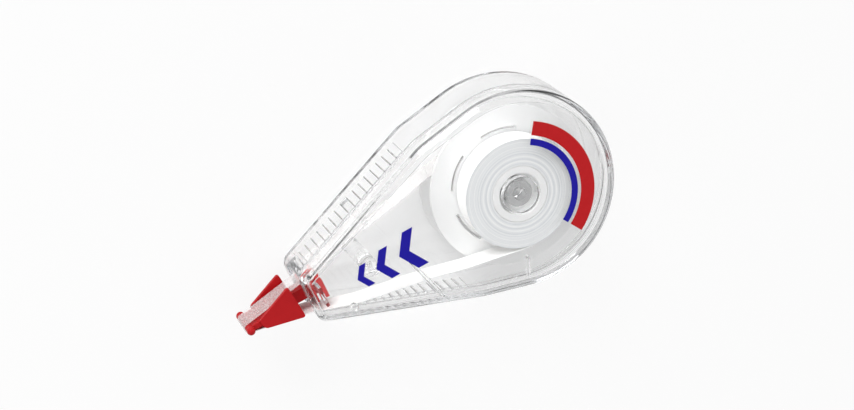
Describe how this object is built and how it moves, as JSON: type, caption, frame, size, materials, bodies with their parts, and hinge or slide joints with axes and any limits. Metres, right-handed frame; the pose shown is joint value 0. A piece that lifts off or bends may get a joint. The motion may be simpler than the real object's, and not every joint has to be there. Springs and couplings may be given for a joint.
{
  "type": "correction tape",
  "caption": "Hand-held correction tape: clear teardrop case with ribbed grips, a full tape reel over a take-up reel on one axle, and a red applicator head.",
  "frame": {"origin": "centre of the round rear end, on the flat back face", "axes": "+X towards the round rear end, away from the applicator head; +Y towards the upper grip; +Z out of the front face"},
  "size_m": [0.0727, 0.037, 0.015],
  "materials": {
    "clear_case": "clear polystyrene, moulded with a polished surface",
    "milky_reel": "natural polypropylene, milky and slightly see-through",
    "coated_tape": "thin film with an opaque matt white coating",
    "bare_backing": "thin glossy film, see-through where the coating has been used up",
    "clutch_rubber": "smooth dark rubber",
    "red_head": "red acetal, moulded with a satin gloss"
  },
  "bodies": {
    "case": {"back_shell": "clear_case", "front_shell": "clear_case", "applicator_head": "red_head", "supply_ribbon": "coated_tape", "return_ribbon": "bare_backing"},
    "supply_reel": {"supply_core": "milky_reel", "tape_roll": "coated_tape", "clutch_ring": "clutch_rubber"},
    "takeup_reel": {"takeup_spool": "milky_reel", "takeup_flange": "milky_reel", "takeup_winding": "bare_backing"}
  },
  "joints": [
    {"name": "takeup_spin", "type": "hinge", "parent": "case", "child": "takeup_reel", "pos_m": [0, -0.0009, 0.0075], "axis": [0, 0, 1], "continuous": true},
    {"name": "supply_spin", "type": "hinge", "parent": "case", "child": "supply_reel", "pos_m": [0, -0.0009, 0.0075], "axis": [0, 0, 1], "continuous": true}
  ],
  "couplings": [
    {"joint": "supply_spin", "follows": "takeup_spin", "ratio": 1.0294}
  ]
}
